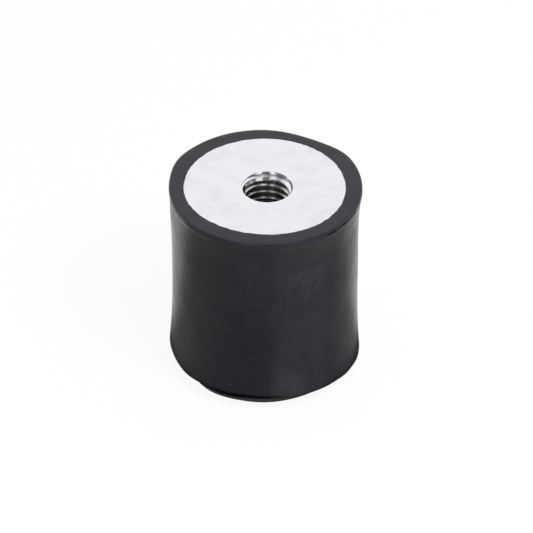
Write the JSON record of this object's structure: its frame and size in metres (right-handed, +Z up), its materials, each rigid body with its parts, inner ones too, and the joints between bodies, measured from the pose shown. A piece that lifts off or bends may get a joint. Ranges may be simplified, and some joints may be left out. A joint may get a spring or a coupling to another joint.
{
  "type": "bobbin vibration mount",
  "caption": "Round waisted rubber vibration mount with a flush zinc-plated steel insert bonded into each end, tapped M8 through a countersunk mouth.",
  "frame": {"origin": "centre of the lower insert's outer face, which is the bottom of the mount", "axes": "+Z up along the mount's axis, from the lower insert to the upper one"},
  "size_m": [0.03, 0.03, 0.0327],
  "materials": {
    "rubber": "moulded black rubber, smooth and slightly glossy",
    "zinc_plated_steel": "bright zinc plating on a turned steel face"
  },
  "bodies": {
    "root": {"rubber_body": "rubber", "lower_insert": "zinc_plated_steel", "upper_insert": "zinc_plated_steel"}
  },
  "joints": []
}
